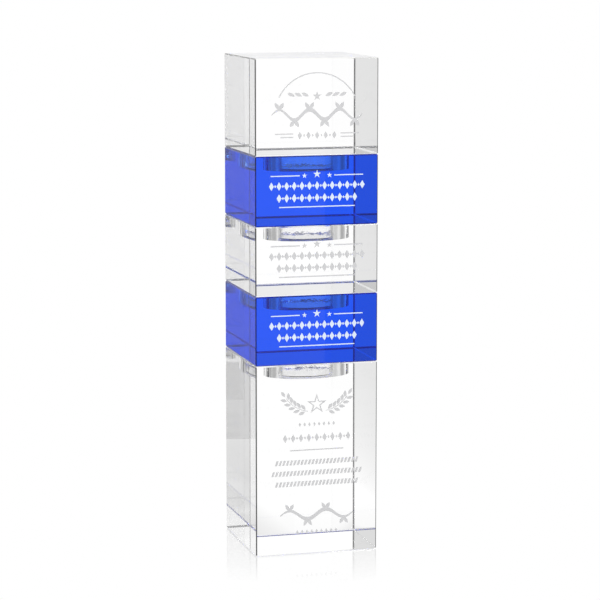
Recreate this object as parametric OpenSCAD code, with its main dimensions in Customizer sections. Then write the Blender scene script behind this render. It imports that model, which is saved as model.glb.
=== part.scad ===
// Column trophy: a tall clear crystal base with four blocks stacked on it.
// The blocks are blue, clear, blue and clear. Each one has a clear round disc
// bonded under it, and the disc sits in a round recess in the block below, so
// a block lifts off and swivels. The front faces carry frosted engravings.
// Millimetres, +Z up, front faces towards -Y, origin at the middle of the foot.

/* [Column] */
// Width and depth of every block
section_w = 60; // [54:1:90]
// Height of the base column
base_h = 92; // [76:1:160]
// Height of each of the three blocks in the middle
tier_h = 33; // [27:0.5:60]
// Height of the block on top
top_h = 45.5; // [38:0.5:90]
// Width of the polished bevel along every edge of a block
edge_bevel = 0.5; // [0.3:0.1:1.2]
// Air between one block and the next
seat_gap = 0.1; // [0.05:0.05:0.4]

/* [Recess and disc] */
// Diameter of the round recess in the top of a block
recess_d = 42; // [30:0.5:48]
// Depth of the recess
recess_depth = 8; // [4:0.5:12]
// Bevel around the mouth of the recess
recess_bevel = 0.4; // [0.2:0.1:1]
// Air between the disc and the wall of the recess
disc_side_gap = 2; // [0.3:0.1:3]
// Air between the disc and the floor of the recess
disc_floor_gap = 0.4; // [0.2:0.1:1]
// Bevel on the disc's two rims
disc_bevel = 0.5; // [0.2:0.1:1]
// Thickness of the clear adhesive film that bonds a disc to its block
film_t = 0.1; // [0.05:0.05:0.3]
// Distance from the film's rim to the disc's rim
film_margin = 2; // [1:0.5:6]
// Hairline of air on each side of the film
film_gap = 0.02; // [0.01:0.01:0.05]

/* [Engraving] */
// Depth of the engraving
etch_depth = 0.25; // [0.15:0.05:0.6]
// Hairline of air around the frosted fill
etch_gap = 0.02; // [0.01:0.01:0.04]
// Thickness of the fine lines
line_t = 0.5; // [0.3:0.05:1]
// Radius of the arc on the top block
arc_r = 20.7; // [16:0.1:22]
// Radius of the large star on a tier
star_r = 2; // [1.2:0.1:3]
// Radius of the small stars on a tier
small_star_r = 1.3; // [0.8:0.1:2]
// Radius of the outlined star on the base
base_star_r = 5; // [3:0.1:6]
// Radius of the two laurel branches
laurel_r = 16; // [13:0.1:18]
// Number of leaf pairs on a branch
leaf_pairs = 5; // [3:1:6]

/* [Hidden] */
$fn = 128;
overcut = 1;
clear_tint = [0.90, 0.93, 0.95, 0.45];
blue_tint = [0.10, 0.28, 0.95, 0.75];
film_tint = [0.86, 0.90, 0.80, 0.60];
frost_tint = [0.80, 0.82, 0.86];

// Height of each block's underside
lower_blue_z = base_h + seat_gap;
middle_clear_z = lower_blue_z + tier_h + seat_gap;
upper_blue_z = middle_clear_z + tier_h + seat_gap;
top_z = upper_blue_z + tier_h + seat_gap;

// The disc hangs from the underside of its block, with the film between them
disc_d = recess_d - 2 * disc_side_gap;
film_d = disc_d - 2 * film_margin;
disc_drop = film_t + 2 * film_gap;
disc_h = seat_gap + recess_depth - disc_floor_gap - disc_drop;

// Square with its four corners cut off, the outline of a bevelled block
module bevelled_rectangle(width, height, bevel) {
    x = width / 2;
    y = height / 2;
    polygon([[x - bevel, -y], [x, bevel - y], [x, y - bevel], [x - bevel, y],
             [bevel - x, y], [-x, y - bevel], [-x, bevel - y], [bevel - x, -y]]);
}

// Block with a bevel along all twelve edges, standing on z = 0
module bevelled_block(height) {
    translate([0, 0, height / 2])
        intersection() {
            linear_extrude(height, center = true)
                bevelled_rectangle(section_w, section_w, edge_bevel);
            rotate([90, 0, 0])
                linear_extrude(section_w, center = true)
                    bevelled_rectangle(section_w, height, edge_bevel);
            rotate([90, 0, 90])
                linear_extrude(section_w, center = true)
                    bevelled_rectangle(section_w, height, edge_bevel);
        }
}

// Round recess with a bevelled mouth, cut down from z = 0
module recess_cut() {
    translate([0, 0, -recess_depth])
        cylinder(d = recess_d, h = recess_depth + overcut);
    translate([0, 0, -recess_bevel])
        cylinder(d1 = recess_d, d2 = recess_d + 2 * (recess_bevel + overcut),
                 h = recess_bevel + overcut);
}

// Outlines drawn on a front face become cuts in the block
module engrave_cut(middle_z) {
    translate([0, etch_depth - section_w / 2, middle_z])
        rotate([90, 0, 0])
            linear_extrude(etch_depth + overcut)
                children();
}

// The same outlines become the frosted fill, level with the face
module engrave_fill(middle_z) {
    translate([0, etch_depth - etch_gap - section_w / 2, middle_z])
        rotate([90, 0, 0])
            linear_extrude(etch_depth - etch_gap)
                children();
}

// ---- Outlines. Each one grows by g on every side, so a cut clears its fill ----

// Straight bar
module bar(width, height, g) {
    square([width + 2 * g, height + 2 * g], center = true);
}

// Lozenge
module lozenge(width, height, g) {
    x = width / 2 + g * norm([width, height]) / height;
    y = height / 2 + g * norm([width, height]) / width;
    polygon([[x, 0], [0, y], [-x, 0], [0, -y]]);
}

// Five-pointed star with straight edges
module star(r, g) {
    tip_r = r + g / cos(72);
    notch_r = tip_r * cos(72) / cos(36);
    polygon([for (i = [0:9])
             let (rr = i % 2 == 0 ? tip_r : notch_r, a = 90 + 36 * i)
             [rr * cos(a), rr * sin(a)]]);
}

// Star drawn as a line
module star_outline(r, line, g) {
    difference() {
        star(r, g);
        star(r - line / cos(72), -g);
    }
}

// Pointed leaf that starts at the origin and lies along +X
module leaf(length, width, g) {
    steps = 6;
    half = width / 2 + g;
    upper = [for (i = [0:steps])
             [i / steps * (length + 2 * g) - g, half * sin(180 * i / steps)]];
    lower = [for (i = [1:steps - 1])
             [(1 - i / steps) * (length + 2 * g) - g, -half * sin(180 * i / steps)]];
    polygon(concat(upper, lower));
}

// Curved line, part of a ring
module arc_line(r, line, from_a, to_a, g) {
    steps = 24;
    half = line / 2 + g;
    extra = g / r * 180 / PI;
    sweep = to_a - from_a + 2 * extra;
    angles = [for (i = [0:steps]) from_a - extra + i / steps * sweep];
    polygon(concat([for (a = angles) (r + half) * [cos(a), sin(a)]],
                   [for (i = [steps:-1:0]) (r - half) * [cos(angles[i]), sin(angles[i])]]));
}

// Wave line, thick in the middle and fine at its ends
module wave_line(width, swing, waves, line, g) {
    steps = 20 * waves;
    turn = 360 * waves;
    rise = swing * turn * PI / 180 / width;
    function across(t) = (t - 0.5) * width + sign(floor(t) + ceil(t) - 1) * g;
    function height_at(t) = swing * sin(turn * t);
    function half_at(t) = line * (0.2 + 0.5 * sin(180 * t)) + g * norm([1, rise * cos(turn * t)]);
    polygon(concat([for (i = [0:steps]) let (t = i / steps) [across(t), height_at(t) + half_at(t)]],
                   [for (i = [steps:-1:0]) let (t = i / steps) [across(t), height_at(t) - half_at(t)]]));
}

// Vine: a wave line with a pair of leaves growing out of every crest and trough
module vine(width, swing, waves, line, leaf_l, leaf_w, g) {
    leaf_spread = 32;
    bends = 2 * waves;
    wave_line(width, swing, waves, line, g);
    for (i = [0:bends - 1], lean = [-1, 1]) {
        outward = i % 2 == 0 ? 1 : -1;
        translate([((i + 0.5) / bends - 0.5) * width, outward * swing])
            rotate(outward * 90 + lean * leaf_spread)
                leaf(leaf_l, leaf_w, g);
    }
}

// Row of equal lozenges
module lozenge_row(count, pitch, width, height, g) {
    for (i = [0:count - 1])
        translate([(i - (count - 1) / 2) * pitch, 0])
            lozenge(width, height, g);
}

// Frieze: tall lozenges with a small one between each two
module frieze(count, pitch, width, height, g) {
    lozenge_row(count, pitch, width, height, g);
    lozenge_row(count - 1, pitch, width * 0.45, height * 0.35, g);
}

// Row of short slanted strokes
module stroke_row(count, pitch, height, g) {
    slant = 0.35;
    half_w = pitch * 0.27 + g * norm([1, slant]);
    y = height / 2 + g;
    for (i = [0:count - 1])
        translate([(i - (count - 1) / 2) * pitch, 0])
            polygon([[-half_w - slant * y, -y], [half_w - slant * y, -y],
                     [half_w + slant * y, y], [-half_w + slant * y, y]]);
}

// One laurel branch, curving down and in to the middle
module laurel_branch(g) {
    start_a = 215;
    end_a = 261;
    leaf_l = 3.4;
    leaf_w = 1.5;
    leaf_lean = 38;
    stem_clear = 0.45;
    arc_line(laurel_r, line_t * 0.6, start_a, end_a, g);
    for (i = [0:leaf_pairs - 1], side = [-1, 1]) {
        a = start_a + (i + 0.5) / leaf_pairs * (end_a - start_a);
        r = laurel_r + side * stem_clear;
        translate(r * [cos(a), sin(a)])
            rotate(a - 90 - side * -leaf_lean)
                leaf(leaf_l, leaf_w, g);
    }
    translate(laurel_r * [cos(start_a - 3), sin(start_a - 3)])
        rotate(start_a - 90)
            leaf(leaf_l, leaf_w, g);
}

// ---- Engravings, each drawn from the middle of its block's front face ----

module top_marks(g) {
    arc_top = 15.9;
    arc_end_a = 27;
    translate([0, arc_top - arc_r])
        arc_line(arc_r, line_t, arc_end_a, 180 - arc_end_a, g);
    translate([0, 5]) {
        for (side = [-1, 1])
            for (i = [0:2])
                translate([side * (4 + 3.4 * i), 0])
                    rotate(side > 0 ? 24 : 156)
                        leaf(4, 1.6, g);
        star(2.2, g);
    }
    translate([0, -3.6])
        vine(44, 2.4, 3, 1.5, 4, 1.7, g);
    translate([0, -13.3]) {
        frieze(5, 4.2, 2, 3.4, g);
        for (side = [-1, 1]) {
            translate([side * 16, 0.8])
                bar(9, line_t, g);
            translate([side * 14.6, -0.8])
                bar(6.2, line_t, g);
        }
    }
}

module tier_marks(g) {
    star_gap = 6.1;
    rule_from = 8.4;
    rule_to = 22.6;
    translate([0, 7.2]) {
        translate([0, 0.6])
            star(star_r, g);
        for (side = [-1, 1]) {
            translate([side * star_gap, 0])
                star(small_star_r, g);
            translate([side * (rule_from + rule_to) / 2, 0])
                bar(rule_to - rule_from, line_t, g);
        }
    }
    translate([0, 2.4])
        frieze(13, 3.7, 2.4, 4, g);
    translate([0, -3.3])
        frieze(11, 3.7, 2.4, 4, g);
    translate([0, -7.5])
        bar(37, line_t, g);
}

module base_marks(g) {
    branch_gap = 2;
    translate([0, 26.6])
        star_outline(base_star_r, line_t, g);
    for (side = [0, 1])
        mirror([side, 0])
            translate([-branch_gap, 39.2])
                laurel_branch(g);
    translate([0, 17])
        lozenge_row(8, 2.4, 1.2, 1.8, g);
    translate([0, 10.5])
        frieze(9, 3.9, 2.1, 3.8, g);
    translate([0, 4.6])
        bar(26.5, line_t, g);
    for (row = [0:2])
        translate([0, -1.3 - 5.2 * row])
            stroke_row(row == 1 ? 25 : 23, 1.8, 2.4, g);
    translate([0, -27])
        vine(36, 2.2, 2, 1.5, 3.8, 1.6, g);
    translate([0, -35.4])
        lozenge_row(9, 2.4, 1.2, 1.8, g);
}

// ---- Pieces ----

module base_column() {
    color(clear_tint)
        difference() {
            bevelled_block(base_h);
            translate([0, 0, base_h])
                recess_cut();
            engrave_cut(base_h / 2)
                base_marks(etch_gap);
        }
}

// One of the three blocks in the middle: recess on top, stars on the front
module tier_block() {
    difference() {
        bevelled_block(tier_h);
        translate([0, 0, tier_h])
            recess_cut();
        engrave_cut(tier_h / 2)
            tier_marks(etch_gap);
    }
}

module lower_blue_block() {
    color(blue_tint)
        translate([0, 0, lower_blue_z])
            tier_block();
}

module middle_clear_block() {
    color(clear_tint)
        translate([0, 0, middle_clear_z])
            tier_block();
}

module upper_blue_block() {
    color(blue_tint)
        translate([0, 0, upper_blue_z])
            tier_block();
}

module top_block() {
    color(clear_tint)
        translate([0, 0, top_z])
            difference() {
                bevelled_block(top_h);
                engrave_cut(top_h / 2)
                    top_marks(etch_gap);
            }
}

// Clear disc that hangs under the block whose underside is at block_z
module locating_disc(block_z) {
    r = disc_d / 2;
    color(clear_tint)
        translate([0, 0, block_z - disc_drop - disc_h])
            rotate_extrude()
                polygon([[0, 0], [r - disc_bevel, 0], [r, disc_bevel],
                         [r, disc_h - disc_bevel], [r - disc_bevel, disc_h], [0, disc_h]]);
}

module lower_blue_disc() {
    locating_disc(lower_blue_z);
}

module middle_clear_disc() {
    locating_disc(middle_clear_z);
}

module upper_blue_disc() {
    locating_disc(upper_blue_z);
}

module top_disc() {
    locating_disc(top_z);
}

// Adhesive film between a disc and the block whose underside is at block_z
module bond_film(block_z) {
    color(film_tint)
        translate([0, 0, block_z - film_gap - film_t])
            cylinder(d = film_d, h = film_t);
}

module lower_blue_bond_film() {
    bond_film(lower_blue_z);
}

module middle_clear_bond_film() {
    bond_film(middle_clear_z);
}

module upper_blue_bond_film() {
    bond_film(upper_blue_z);
}

module top_bond_film() {
    bond_film(top_z);
}

module base_engraving() {
    color(frost_tint)
        engrave_fill(base_h / 2)
            base_marks(0);
}

// Frosted fill of a middle block whose underside is at block_z
module tier_engraving(block_z) {
    color(frost_tint)
        engrave_fill(block_z + tier_h / 2)
            tier_marks(0);
}

module lower_blue_engraving() {
    tier_engraving(lower_blue_z);
}

module middle_clear_engraving() {
    tier_engraving(middle_clear_z);
}

module upper_blue_engraving() {
    tier_engraving(upper_blue_z);
}

module top_engraving() {
    color(frost_tint)
        engrave_fill(top_z + top_h / 2)
            top_marks(0);
}

base_column();
lower_blue_block();
middle_clear_block();
upper_blue_block();
top_block();
lower_blue_disc();
middle_clear_disc();
upper_blue_disc();
top_disc();
lower_blue_bond_film();
middle_clear_bond_film();
upper_blue_bond_film();
top_bond_film();
base_engraving();
lower_blue_engraving();
middle_clear_engraving();
upper_blue_engraving();
top_engraving();
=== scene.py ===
# %% [markdown]
# # A column trophy in optical crystal
# A tall clear base carries four square blocks: blue, clear, blue and clear. Round clear
# discs sit in recesses between them, and the fronts are sandblasted with stars, a laurel
# and borders. The solids come from the imported model. This lesson gives them polished
# faces, colour, ground edges with a painted dark outline, drilled walls and frosted marks, and a studio to
# show.

# %% Load the imported model as a fixed frame
import math

import bpy
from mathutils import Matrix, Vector


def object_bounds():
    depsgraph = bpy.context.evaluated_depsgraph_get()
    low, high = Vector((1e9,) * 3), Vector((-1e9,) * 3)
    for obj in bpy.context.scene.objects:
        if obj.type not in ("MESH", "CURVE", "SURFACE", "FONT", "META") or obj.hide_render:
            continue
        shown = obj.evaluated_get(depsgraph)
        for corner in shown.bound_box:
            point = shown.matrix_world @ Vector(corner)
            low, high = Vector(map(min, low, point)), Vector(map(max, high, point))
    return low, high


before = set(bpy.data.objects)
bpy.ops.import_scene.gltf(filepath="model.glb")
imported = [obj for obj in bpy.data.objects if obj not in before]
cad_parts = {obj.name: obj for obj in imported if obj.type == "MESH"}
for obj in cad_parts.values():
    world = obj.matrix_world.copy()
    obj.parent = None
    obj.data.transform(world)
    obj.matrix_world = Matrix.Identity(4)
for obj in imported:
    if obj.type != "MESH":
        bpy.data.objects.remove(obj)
cad_low, cad_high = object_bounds()
scene = bpy.context.scene
column_middle = (cad_low + cad_high) / 2
half_width = cad_high.x
print("the column is", round((cad_high.z - cad_low.z) * 1000, 1), "mm tall and",
      round(half_width * 2000, 1), "mm wide, in", len(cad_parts), "pieces")

# %% [markdown]
# ## Camera
# The column is seen from a little to its left and a little above. A long lens from more
# than a metre away keeps the uprights nearly parallel, as a product studio does. A wide
# lens close by would lean the edges together and make the base look small.

# %% Place the camera on a circle round the column
CAMERA_AZIMUTH = -15.5
CAMERA_ELEVATION = 8.55
CAMERA_DISTANCE = 1.14
LENS_MM = 140.8


def around(azimuth, elevation):
    """Unit vector from the column to a place around it, in degrees; azimuth 0 is in front."""
    turn = math.radians(azimuth)
    lift = math.radians(elevation)
    return Vector((math.sin(turn) * math.cos(lift), -math.cos(turn) * math.cos(lift), math.sin(lift)))


def aim(thing, azimuth, elevation, distance):
    """Puts a camera or lamp on a sphere round the column and points it at the middle."""
    towards = around(azimuth, elevation)
    thing.location = column_middle + towards * distance
    thing.rotation_mode = "QUATERNION"
    thing.rotation_quaternion = (-towards).to_track_quat("-Z", "Y")


camera_data = bpy.data.cameras.new("camera")
camera_data.lens = LENS_MM
camera = bpy.data.objects.new("camera", camera_data)
scene.collection.objects.link(camera)
aim(camera, CAMERA_AZIMUTH, CAMERA_ELEVATION, CAMERA_DISTANCE)
scene.camera = camera
print("camera at", [round(c, 3) for c in camera.location], "with a", LENS_MM, "mm lens")

# %% [markdown]
# ## Light paths
# A look through one block crosses two faces. A look through a recess and its disc crosses
# eight, and many rays are mirrored inside first. Too few bounces would turn those places
# black, so the limits are raised. Plain display of the colours keeps a white studio white.

# %% Let light cross many faces
BOUNCES = 32
GLOSSY_BOUNCES = 24
DIFFUSE_BOUNCES = 4
scene.view_settings.view_transform = "Standard"
scene.cycles.max_bounces = BOUNCES
scene.cycles.transmission_bounces = BOUNCES
scene.cycles.glossy_bounces = GLOSSY_BOUNCES
scene.cycles.diffuse_bounces = DIFFUSE_BOUNCES
scene.cycles.blur_glossy = 0.0
print("bounces allowed:", scene.cycles.max_bounces)

# %% [markdown]
# ## Helpers for node trees
# The same few moves come back in every material: start a group, add a maths step, place a
# ramp of greys, mix two colours. Naming them once keeps each later cell about the look.

# %% Small helpers for node trees


def connect(tree, value, socket):
    """Links a socket, or writes a plain number, into an input."""
    if isinstance(value, bpy.types.NodeSocket):
        tree.links.new(value, socket)
    elif value is not None:
        socket.default_value = value


def new_group(name, inputs, outputs):
    """A shader node group and the nodes that stand for its inputs and outputs."""
    group = bpy.data.node_groups.new(name, "ShaderNodeTree")
    for label, kind, value in inputs:
        socket = group.interface.new_socket(label, in_out="INPUT", socket_type=kind)
        if value is not None:
            socket.default_value = value
    for label, kind in outputs:
        group.interface.new_socket(label, in_out="OUTPUT", socket_type=kind)
    return group, group.nodes.new("NodeGroupInput"), group.nodes.new("NodeGroupOutput")


def place_group(tree, group, **values):
    """Places a group in a tree; keywords fill its inputs, with underscores for spaces."""
    node = tree.nodes.new("ShaderNodeGroup")
    node.node_tree = group
    for label, value in values.items():
        connect(tree, value, node.inputs[label.replace("_", " ")])
    return node


def maths(tree, operation, first, second=None, clamp=False):
    """One Math node."""
    node = tree.nodes.new("ShaderNodeMath")
    node.operation = operation
    node.use_clamp = clamp
    connect(tree, first, node.inputs[0])
    connect(tree, second, node.inputs[1])
    return node.outputs[0]


def grey_ramp(tree, position, stops):
    """A ramp of greys; stops are pairs of position and brightness."""
    ramp = tree.nodes.new("ShaderNodeValToRGB")
    connect(tree, position, ramp.inputs["Fac"])
    elements = ramp.color_ramp.elements
    elements.remove(elements[-1])
    for index, (place, value) in enumerate(stops):
        element = elements[0] if index == 0 else elements.new(place)
        element.position = place
        element.color = (value, value, value, 1)
    return ramp.outputs["Color"]


def mix_colour(tree, factor, first, second):
    """A colour between two colours."""
    mix = tree.nodes.new("ShaderNodeMix")
    mix.data_type = "RGBA"
    colour_inputs = [socket for socket in mix.inputs if socket.type == "RGBA"]
    for socket, value in zip(colour_inputs, (first, second)):
        connect(tree, (*value, 1) if isinstance(value, tuple) else value, socket)
    connect(tree, factor, mix.inputs["Factor"])
    return [socket for socket in mix.outputs if socket.type == "RGBA"][0]


def noise(tree, position, scale, detail):
    """A Noise Texture's value."""
    node = tree.nodes.new("ShaderNodeTexNoise")
    node.inputs["Scale"].default_value = scale
    node.inputs["Detail"].default_value = detail
    connect(tree, position, node.inputs["Vector"])
    return node.outputs["Fac"]


def new_material(name):
    """A material with its tree and its Principled shader."""
    material = bpy.data.materials.new(name)
    material.use_nodes = True
    return material, material.node_tree, material.node_tree.nodes["Principled BSDF"]


print("helpers ready")

# %% [markdown]
# ## The studio around the crystal
# Clear crystal has no colour of its own: it shows its surroundings, bent and mirrored. So
# the studio is the most important material here. It is white behind the column, grey at
# the sides and pale again at the front right, which gives the side faces their soft greys
# and the rings their dark and light strips. A group holds the pattern, because the walls
# and the floor have to agree where they meet.

# %% Studio pattern: brightness by compass direction
# Degrees clockwise from straight behind the column, and how bright the studio is there.
STUDIO_PATTERN = [(-180, 0.74), (-118, 0.60), (-102, 0.62), (-92, 0.80), (-84, 0.78), (-74, 0.44),
                  (-58, 0.44), (-46, 0.58), (-34, 0.62), (-24, 0.70), (-12, 0.84), (0, 1.03),
                  (32, 1.03), (44, 0.70), (60, 0.42), (76, 0.42), (86, 0.78), (96, 0.80),
                  (108, 0.60), (148, 0.74), (172, 0.78), (180, 0.74)]


def build_studio_pattern():
    group, inside, outside = new_group(
        "studio_pattern", [("Direction", "NodeSocketVector", None)],
        [("Brightness", "NodeSocketFloat")])
    parts = group.nodes.new("ShaderNodeSeparateXYZ")
    connect(group, inside.outputs["Direction"], parts.inputs[0])
    angle = maths(group, "ARCTAN2", parts.outputs["X"], parts.outputs["Y"])
    turn = maths(group, "ADD", maths(group, "DIVIDE", angle, 2 * math.pi), 0.5)
    stops = [((degrees + 180) / 360, value) for degrees, value in STUDIO_PATTERN]
    connect(group, grey_ramp(group, turn, stops), outside.inputs["Brightness"])
    return group


studio_pattern = build_studio_pattern()
print("studio pattern has", len(STUDIO_PATTERN), "stops")

# %% [markdown]
# ## Walls
# The walls follow the compass pattern. They are brightest about thirty degrees up, which
# is where the level bevels at the foot of a block bend the eye, so those lines stay pale.
# The ceiling is dark: the bevels mirror it straight down through the blue blocks, and a
# bright one would draw blue lines round the clear base. The camera itself sees a plain
# white backdrop, past the column and mirrored once. A ray that was mirrored once reaches
# the world with a depth of two, because the world counts as a step.

# %% Walls and backdrop
WALL_BY_HEIGHT = [(0.0, 1.0), (0.07, 0.83), (0.18, 0.82), (0.24, 1.0), (0.36, 1.0), (0.5, 1.08),
                  (0.62, 1.0), (0.8, 0.42), (1.0, 0.25)]
WALL_CONTRAST = 1.3
ONE_MIRROR_DEEP = 2.5


def build_world():
    world = bpy.data.worlds.new("studio")
    world.use_nodes = True
    tree = world.node_tree
    tree.nodes.clear()
    place = tree.nodes.new("ShaderNodeTexCoord")
    pattern = place_group(tree, studio_pattern, Direction=place.outputs["Generated"])
    parts = tree.nodes.new("ShaderNodeSeparateXYZ")
    connect(tree, place.outputs["Generated"], parts.inputs[0])
    walls = tree.nodes.new("ShaderNodeBackground")
    connect(tree, grey_ramp(tree, parts.outputs["Z"], WALL_BY_HEIGHT), walls.inputs["Color"])
    connect(tree, maths(tree, "POWER", pattern.outputs["Brightness"], WALL_CONTRAST),
            walls.inputs["Strength"])
    backdrop = tree.nodes.new("ShaderNodeBackground")
    backdrop.inputs["Color"].default_value = (1, 1, 1, 1)
    path = tree.nodes.new("ShaderNodeLightPath")
    first_mirror = maths(tree, "MULTIPLY", path.outputs["Is Glossy Ray"],
                         maths(tree, "LESS_THAN", path.outputs["Ray Depth"], ONE_MIRROR_DEEP))
    upward = maths(tree, "GREATER_THAN", parts.outputs["Z"], 0.0)
    plain = maths(tree, "MAXIMUM", path.outputs["Is Camera Ray"],
                  maths(tree, "MULTIPLY", first_mirror, upward))
    choose = tree.nodes.new("ShaderNodeMixShader")
    connect(tree, plain, choose.inputs["Fac"])
    connect(tree, walls.outputs[0], choose.inputs[1])
    connect(tree, backdrop.outputs[0], choose.inputs[2])
    out = tree.nodes.new("ShaderNodeOutputWorld")
    connect(tree, choose.outputs[0], out.inputs["Surface"])
    return world


scene.world = build_world()
print("world:", scene.world.name)

# %% [markdown]
# ## Table
# The column stands on a white table that is lit from below, so it throws no shadow. The
# top is polished, and a faint mirrored foot fades out in front of the base. The mirror is
# pure white, or it would dull the table round the foot like a soft shadow. Rays that
# arrive through the crystal see the studio pattern instead of plain white.

# %% White table with a fading mirror
FLOOR_SIZE = 12.0
FLOOR_DROP = 0.0002
NEAR_FLOOR = 0.95
PATTERN_FROM = 3.2 * half_width
MIRROR_REACH = 0.085
MIRROR_STRENGTH = 0.66
MIRROR_ROUGHNESS = 0.03


def build_table_material():
    material, tree, shader = new_material("white_table")
    tree.nodes.remove(shader)
    place = tree.nodes.new("ShaderNodeTexCoord")
    pattern = place_group(tree, studio_pattern, Direction=place.outputs["Object"])
    length = tree.nodes.new("ShaderNodeVectorMath")
    length.operation = "LENGTH"
    connect(tree, place.outputs["Object"], length.inputs[0])
    distance = length.outputs["Value"]
    through = tree.nodes.new("ShaderNodeMix")
    through.inputs["A"].default_value = NEAR_FLOOR
    connect(tree, maths(tree, "DIVIDE", distance, PATTERN_FROM, clamp=True), through.inputs["Factor"])
    connect(tree, pattern.outputs["Brightness"], through.inputs["B"])
    seen_through = tree.nodes.new("ShaderNodeEmission")
    connect(tree, through.outputs["Result"], seen_through.inputs["Strength"])
    white = tree.nodes.new("ShaderNodeEmission")
    mirror = tree.nodes.new("ShaderNodeBsdfAnisotropic")
    mirror.inputs["Color"].default_value = (1, 1, 1, 1)
    mirror.inputs["Roughness"].default_value = MIRROR_ROUGHNESS
    near = maths(tree, "SUBTRACT", 1.0, maths(tree, "DIVIDE", distance, MIRROR_REACH), clamp=True)
    seen = tree.nodes.new("ShaderNodeMixShader")
    connect(tree, maths(tree, "MULTIPLY", near, MIRROR_STRENGTH), seen.inputs["Fac"])
    connect(tree, white.outputs[0], seen.inputs[1])
    connect(tree, mirror.outputs[0], seen.inputs[2])
    path = tree.nodes.new("ShaderNodeLightPath")
    choose = tree.nodes.new("ShaderNodeMixShader")
    connect(tree, path.outputs["Is Camera Ray"], choose.inputs["Fac"])
    connect(tree, seen_through.outputs[0], choose.inputs[1])
    connect(tree, seen.outputs[0], choose.inputs[2])
    connect(tree, choose.outputs[0], tree.nodes["Material Output"].inputs["Surface"])
    return material


def add_panel(name, corners, material):
    """A flat four-sided panel that belongs to the studio, not to the column."""
    mesh = bpy.data.meshes.new(name)
    mesh.from_pydata(corners, [], [(0, 1, 2, 3)])
    mesh.materials.append(material)
    panel = bpy.data.objects.new(name, mesh)
    scene.collection.objects.link(panel)
    return panel


side = FLOOR_SIZE / 2
table_corners = [(-side, -side, 0), (side, -side, 0), (side, side, 0), (-side, side, 0)]
table = add_panel("table", table_corners, build_table_material())
table.location.z = -FLOOR_DROP
print("table is", FLOOR_SIZE, "m square")

# %% [markdown]
# ## Cards and softbox
# The left faces are seen at a steep slant. They mirror a quarter of whatever stands behind
# them on the left, and let through what stands at the front right. A grey card in the
# first place keeps the blue from being washed out, and a glowing panel in the second keeps
# the same faces from going dull. Product studios do this too, with both out of the
# picture. The front faces mirror the panel as well, which would veil the blue with white,
# so the panel is dimmer for light that polished crystal mirrors straight back. The table
# must mirror neither, or they would lie on it as grey patches. Its mirror is a little
# rough and the crystal is perfectly smooth, so the singular-ray flag tells them apart. A
# softbox high at the front left lights the frosted marks. It is far brighter than white,
# so from some raised angles it may show through the blocks as a blown-out patch.

# %% Grey card, light panel and softbox
CARD_GREY = 0.38
CARD_ROUGHNESS = 0.9
PANEL_GLOW = 1.08
PANEL_DIMMING = 0.6
# Azimuth in degrees, then in metres: distance, left edge, right edge and height.
GREY_CARD_PLACE = (-165, 0.25, -0.16, -0.006, 0.27)
LIGHT_PANEL_PLACE = (14, 0.45, -0.17, -0.012, 0.32)
SOFTBOX_SIZE = 0.7
SOFTBOX_WATTS = 16
# Azimuth and elevation in degrees, and distance in metres.
SOFTBOX_PLACE = (-35, 38, 1.5)


def grey_card_material():
    material, tree, shader = new_material("grey_card")
    shader.inputs["Base Color"].default_value = (CARD_GREY, CARD_GREY, CARD_GREY, 1)
    shader.inputs["Roughness"].default_value = CARD_ROUGHNESS
    path = tree.nodes.new("ShaderNodeLightPath")
    reflected = maths(tree, "SUBTRACT", path.outputs["Is Glossy Ray"],
                      path.outputs["Is Transmission Ray"], clamp=True)
    by_table = maths(tree, "SUBTRACT", reflected, path.outputs["Is Singular Ray"], clamp=True)
    # Painted reflection: where the table mirrors the card, the card glows plain white instead of grey.
    white = tree.nodes.new("ShaderNodeEmission")
    choose = tree.nodes.new("ShaderNodeMixShader")
    connect(tree, by_table, choose.inputs["Fac"])
    connect(tree, shader.outputs[0], choose.inputs[1])
    connect(tree, white.outputs[0], choose.inputs[2])
    connect(tree, choose.outputs[0], tree.nodes["Material Output"].inputs["Surface"])
    return material


def light_panel_material():
    material, tree, shader = new_material("light_panel")
    tree.nodes.remove(shader)
    glow = tree.nodes.new("ShaderNodeEmission")
    path = tree.nodes.new("ShaderNodeLightPath")
    by_crystal = maths(tree, "SUBTRACT", path.outputs["Is Singular Ray"],
                       path.outputs["Is Transmission Ray"], clamp=True)
    connect(tree, maths(tree, "SUBTRACT", PANEL_GLOW, maths(tree, "MULTIPLY", by_crystal, PANEL_DIMMING)),
            glow.inputs["Strength"])
    connect(tree, glow.outputs[0], tree.nodes["Material Output"].inputs["Surface"])
    return material


def stand_card(name, azimuth, distance, left, right, height, material):
    """An upright card on the table that faces the column; left and right are its edges."""
    outward = around(azimuth, 0)
    sideways = Vector((outward.y, -outward.x, 0))
    foot = [outward * distance + sideways * edge for edge in (left, right)]
    top = [point + Vector((0, 0, height)) for point in reversed(foot)]
    card = add_panel(name, [tuple(point) for point in foot + top], material)
    card.visible_camera = False
    print(name, "reaches", round(max(v.co.length for v in card.data.vertices), 2), "m out")
    return card


stand_card("grey_card", *GREY_CARD_PLACE, grey_card_material())
stand_card("light_panel", *LIGHT_PANEL_PLACE, light_panel_material())
lamp = bpy.data.lights.new("front_softbox", "AREA")
lamp.size = SOFTBOX_SIZE
lamp.energy = SOFTBOX_WATTS
softbox = bpy.data.objects.new("front_softbox", lamp)
softbox.visible_camera = False
scene.collection.objects.link(softbox)
aim(softbox, *SOFTBOX_PLACE)
print("softbox of", SOFTBOX_WATTS, "W is", SOFTBOX_PLACE[2], "m away")

# %% [markdown]
# ## Which faces were worked how
# The big faces of a block are polished flat. Its edges are broken on a wheel and stay a
# little dull. They also carry painted shade, a dark colour that draws the outline. The
# round recess is cut with a core drill, and its wall keeps the marks of the tool; so does
# the rim of each disc. One group tells these faces apart from their position and direction
# in the piece, so the marks and the painted outline stay in place when a block turns.

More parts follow.
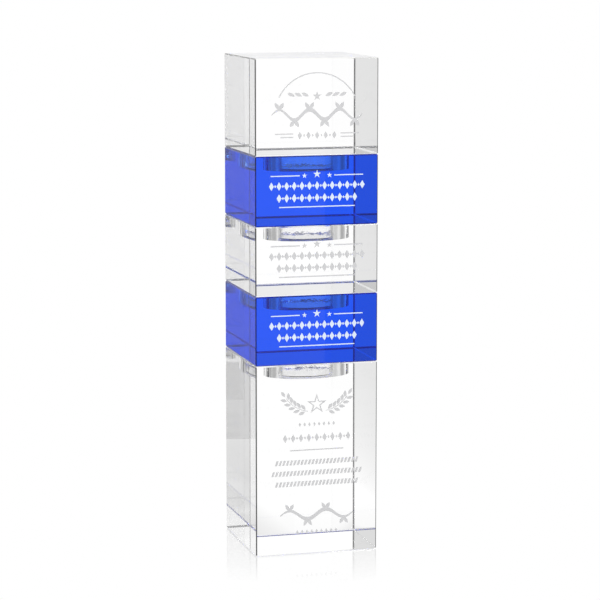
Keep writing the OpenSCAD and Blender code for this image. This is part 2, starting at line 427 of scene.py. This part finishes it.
# %% Mask group for edges and drilled walls
FLAT_ENOUGH = 0.95
UPRIGHT = 0.2
# Faces closer to the axis than this, in metres, belong to a recess or a disc.
DRILL_RADIUS = 0.0215


def build_worked_faces_and_edge_shade():
    group, inside, outside = new_group(
        "worked_faces_and_edge_shade",
        [("Position", "NodeSocketVector", None), ("Normal", "NodeSocketVector", None),
         ("Drill Radius", "NodeSocketFloat", DRILL_RADIUS)],
        [("Edge", "NodeSocketFloat"), ("Level Edge", "NodeSocketFloat"),
         ("Drilled", "NodeSocketFloat"), ("Underside", "NodeSocketFloat")])
    absolute = group.nodes.new("ShaderNodeVectorMath")
    absolute.operation = "ABSOLUTE"
    connect(group, inside.outputs["Normal"], absolute.inputs[0])
    n = group.nodes.new("ShaderNodeSeparateXYZ")
    connect(group, absolute.outputs[0], n.inputs[0])
    flat = maths(group, "MAXIMUM", maths(group, "MAXIMUM", n.outputs["X"], n.outputs["Y"]),
                 n.outputs["Z"])
    slanted = maths(group, "LESS_THAN", flat, FLAT_ENOUGH)
    p = group.nodes.new("ShaderNodeSeparateXYZ")
    connect(group, inside.outputs["Position"], p.inputs[0])
    squares = maths(group, "ADD", maths(group, "MULTIPLY", p.outputs["X"], p.outputs["X"]),
                    maths(group, "MULTIPLY", p.outputs["Y"], p.outputs["Y"]))
    outer = maths(group, "GREATER_THAN", maths(group, "SQRT", squares), inside.outputs["Drill Radius"])
    inner = maths(group, "SUBTRACT", 1.0, outer)
    upright = maths(group, "LESS_THAN", n.outputs["Z"], UPRIGHT)
    level = maths(group, "GREATER_THAN", n.outputs["Z"], FLAT_ENOUGH)
    drill_edge = maths(group, "MULTIPLY", inner, maths(
        group, "SUBTRACT", 1.0, maths(group, "ADD", upright, level)))
    edge = maths(group, "ADD", maths(group, "MULTIPLY", slanted, outer), drill_edge, clamp=True)
    tilted = maths(group, "GREATER_THAN", n.outputs["Z"], UPRIGHT)
    signed = group.nodes.new("ShaderNodeSeparateXYZ")
    connect(group, inside.outputs["Normal"], signed.inputs[0])
    connect(group, edge, outside.inputs["Edge"])
    connect(group, maths(group, "MULTIPLY", edge, tilted), outside.inputs["Level Edge"])
    connect(group, maths(group, "LESS_THAN", signed.outputs["Z"], -FLAT_ENOUGH),
            outside.inputs["Underside"])
    connect(group, maths(group, "MULTIPLY", inner, upright), outside.inputs["Drilled"])
    return group


worked_faces_and_edge_shade = build_worked_faces_and_edge_shade()
print("worked_faces_and_edge_shade gives", [s.name for s in worked_faces_and_edge_shade.interface.items_tree if s.in_out == "OUTPUT"])

# %% [markdown]
# ## Marks of the core drill
# A diamond core drill leaves a rippled, uneven wall that polishing only softens. It makes
# the rings glitter in broken patches. Noise stretched round the wall gives that ripple as
# a bend of the surface, which glass shows far more strongly than a change of colour.

# %% Ripple group for drilled walls
DRILL_SCALE = 200
DRILL_DEPTH = 0.0005
DRILL_STRENGTH = 0.3
DRILL_STRETCH = 1.7
DRILL_ROUGHNESS = 0.12
FINER = 4


def build_drill_ripple():
    group, inside, outside = new_group(
        "drill_ripple",
        [("Position", "NodeSocketVector", None), ("Drilled", "NodeSocketFloat", 1.0)],
        [("Normal", "NodeSocketVector"), ("Roughness", "NodeSocketFloat")])
    stretch = group.nodes.new("ShaderNodeMapping")
    stretch.inputs["Scale"].default_value = (1, 1, DRILL_STRETCH)
    connect(group, inside.outputs["Position"], stretch.inputs["Vector"])
    coarse = noise(group, stretch.outputs[0], DRILL_SCALE, 3)
    height = maths(group, "MULTIPLY", coarse, inside.outputs["Drilled"])
    bump = group.nodes.new("ShaderNodeBump")
    bump.inputs["Strength"].default_value = DRILL_STRENGTH
    bump.inputs["Distance"].default_value = DRILL_DEPTH
    connect(group, height, bump.inputs["Height"])
    fine = noise(group, inside.outputs["Position"], DRILL_SCALE * FINER, 2)
    rough = maths(group, "MULTIPLY", maths(group, "MULTIPLY", fine, inside.outputs["Drilled"]),
                  DRILL_ROUGHNESS)
    connect(group, bump.outputs[0], outside.inputs["Normal"])
    connect(group, rough, outside.inputs["Roughness"])
    return group


drill_ripple = build_drill_ripple()
print("ripple about", round(1000 / DRILL_SCALE, 1), "mm across")

# %% [markdown]
# ## Crystal
# Optical crystal has an index near 1.52. The clear blocks hold no colour at all. Real blue
# crystal is coloured right through, so thin parts are pale and thick parts are deep, and
# absorption inside the solid does that. Absorption alone turned the long slanted looks
# through the side faces violet, because green fades before blue. So, unlike real crystal,
# the faces carry a share of the colour and the solid carries the rest. The drilled walls
# carry none, so a ring stays paler than the blue around it. The edge colours are painted
# shade that draws the outline, standing in for the dark studio a real bevel bends into view:
# nearly black on upright edges and dark navy on the level edges of blue blocks. The level
# edges of clear blocks are painted pale.

# %% Clear and blue crystal
CRYSTAL_IOR = 1.52
EDGE_ROUGHNESS = 0.22
# Painted shade: the dark edge colours stand in for the dark studio a real bevel bends into view. The level
# edges of clear blocks are painted pale.
CLEAR_EDGE_PAINTED_SHADE = (0.012, 0.012, 0.012)
CLEAR_LEVEL_EDGE_PAINTED_PALE = (0.95, 0.95, 0.92)
BLUE_EDGE_PAINTED_SHADE = (0.0, 0.0, 0.03)
BLUE_LEVEL_EDGE_PAINTED_SHADE = (0.0, 0.01, 0.18)
BLUE_FACE = (0.12, 0.22, 0.94)
BLUE_COLOUR = (0.0, 0.74, 0.995)
BLUE_DENSITY = 60
BLUE_UNDERSIDE = 0.05


def build_crystal(name, edge_painted_shade, level_edge_paint, ior=CRYSTAL_IOR, underside=0.0,
                  face_colour=(1, 1, 1)):
    material, tree, shader = new_material(name)
    shader.inputs["Metallic"].default_value = 0.0
    shader.inputs["IOR"].default_value = ior
    shader.inputs["Transmission Weight"].default_value = 1.0
    place = tree.nodes.new("ShaderNodeTexCoord")
    faces = place_group(tree, worked_faces_and_edge_shade, Position=place.outputs["Object"],
                        Normal=place.outputs["Normal"])
    ripple = place_group(tree, drill_ripple, Position=place.outputs["Object"],
                         Drilled=faces.outputs["Drilled"])
    # Painted shade on the bevels: dark outlines, and pale ones on the level edges of clear blocks.
    edges = mix_colour(tree, faces.outputs["Level Edge"], edge_painted_shade, level_edge_paint)
    flats = mix_colour(tree, faces.outputs["Drilled"], face_colour, (1, 1, 1))
    colour = mix_colour(tree, faces.outputs["Edge"], flats, edges)
    rough = maths(tree, "ADD", maths(tree, "MULTIPLY", faces.outputs["Edge"], EDGE_ROUGHNESS),
                  ripple.outputs["Roughness"])
    rough = maths(tree, "ADD", rough, maths(tree, "MULTIPLY", faces.outputs["Underside"], underside))
    connect(tree, colour, shader.inputs["Base Color"])
    connect(tree, rough, shader.inputs["Roughness"])
    connect(tree, ripple.outputs["Normal"], shader.inputs["Normal"])
    return material


def build_blue_crystal():
    material = build_crystal("blue_crystal", BLUE_EDGE_PAINTED_SHADE, BLUE_LEVEL_EDGE_PAINTED_SHADE, underside=BLUE_UNDERSIDE,
                             face_colour=BLUE_FACE)
    tree = material.node_tree
    depth = tree.nodes.new("ShaderNodeVolumeAbsorption")
    depth.inputs["Color"].default_value = (*BLUE_COLOUR, 1)
    depth.inputs["Density"].default_value = BLUE_DENSITY
    connect(tree, depth.outputs[0], tree.nodes["Material Output"].inputs["Volume"])
    return material


clear_crystal = build_crystal("clear_crystal", CLEAR_EDGE_PAINTED_SHADE, CLEAR_LEVEL_EDGE_PAINTED_PALE)
blue_crystal = build_blue_crystal()
crossing = half_width * 2
print("light left after one crossing:",
      [round(face * math.exp(-BLUE_DENSITY * (1 - depth) * crossing), 3)
       for face, depth in zip(BLUE_FACE, BLUE_COLOUR)])

# %% [markdown]
# ## Discs and bonding film
# The discs are the same clear crystal, cut as short cylinders, so their rims are drilled
# walls too. A film of clear cured adhesive is taken to hold each one. It is given an index
# a little below the crystal's.

# %% Disc crystal and film
FILM_IOR = 1.49
FILM_EDGE = (0.6, 0.6, 0.58)
# The disc's bevels carry the same painted dark outline.
disc_crystal = build_crystal("clear_disc", CLEAR_EDGE_PAINTED_SHADE, CLEAR_EDGE_PAINTED_SHADE)
bond_film = build_crystal("bond_film", FILM_EDGE, FILM_EDGE, FILM_IOR)
print("materials so far:", [m.name for m in bpy.data.materials])

# %% [markdown]
# ## Sandblasted marks
# The stars, laurel and borders are blasted a quarter of a millimetre deep and stay matt.
# On clear crystal they read as soft grey, on blue as a pale frost. A fine grain breaks
# up their colour and tilts the surface, as blasted glass does.

# %% Grain group and the two frosts
GRAIN_SCALE = 5200
GRAIN_STRENGTH = 0.35
GRAIN_DEPTH = 0.00005
CLOUD_TO_GRAIN = 12
FROST_ROUGHNESS = 0.7
ROUGHNESS_SPREAD = 0.2
FROST_ON_CLEAR = (0.60, 0.60, 0.61)
FROST_ON_BLUE = (0.70, 0.78, 0.97)
DARKER = 0.84
LIGHTER = 1.12


def build_sandblast():
    group, inside, outside = new_group(
        "sandblast", [("Position", "NodeSocketVector", None)],
        [("Shade", "NodeSocketFloat"), ("Roughness", "NodeSocketFloat"), ("Normal", "NodeSocketVector")])
    grain = noise(group, inside.outputs["Position"], GRAIN_SCALE, 2)
    cloud = noise(group, inside.outputs["Position"], GRAIN_SCALE / CLOUD_TO_GRAIN, 2)
    bump = group.nodes.new("ShaderNodeBump")
    bump.inputs["Strength"].default_value = GRAIN_STRENGTH
    bump.inputs["Distance"].default_value = GRAIN_DEPTH
    connect(group, grain, bump.inputs["Height"])
    shade = maths(group, "ADD", maths(group, "MULTIPLY", grain, 0.5), maths(group, "MULTIPLY", cloud, 0.5))
    rough = maths(group, "ADD", maths(group, "MULTIPLY", grain, ROUGHNESS_SPREAD), FROST_ROUGHNESS)
    connect(group, shade, outside.inputs["Shade"])
    connect(group, rough, outside.inputs["Roughness"])
    connect(group, bump.outputs[0], outside.inputs["Normal"])
    return group


sandblast = build_sandblast()


def build_frost(name, colour):
    material, tree, shader = new_material(name)
    place = tree.nodes.new("ShaderNodeTexCoord")
    blast = place_group(tree, sandblast, Position=place.outputs["Object"])
    darker = tuple(channel * DARKER for channel in colour)
    lighter = tuple(min(1.0, channel * LIGHTER) for channel in colour)
    connect(tree, mix_colour(tree, blast.outputs["Shade"], darker, lighter), shader.inputs["Base Color"])
    connect(tree, blast.outputs["Roughness"], shader.inputs["Roughness"])
    connect(tree, blast.outputs["Normal"], shader.inputs["Normal"])
    return material


frost_on_clear = build_frost("frosted_on_clear", FROST_ON_CLEAR)
frost_on_blue = build_frost("frosted_on_blue", FROST_ON_BLUE)
print("grain about", round(1e6 / GRAIN_SCALE), "micrometres")

# %% [markdown]
# ## Dress every piece
# Each solid of the model gets the finish its name asks for. The rule reads the piece's own
# name, so a block keeps its finish in every pose and in every size of the family.

# %% Give each piece its finish


def finish_for(name):
    """The material a piece is made of."""
    if name.endswith("_engraving"):
        return frost_on_blue if "blue" in name else frost_on_clear
    if name.endswith("_film"):
        return bond_film
    if name.endswith("_disc"):
        return disc_crystal
    return blue_crystal if "blue" in name else clear_crystal


for name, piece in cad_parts.items():
    piece.material_slots[0].material = finish_for(name)
    print(name, "->", piece.material_slots[0].material.name)
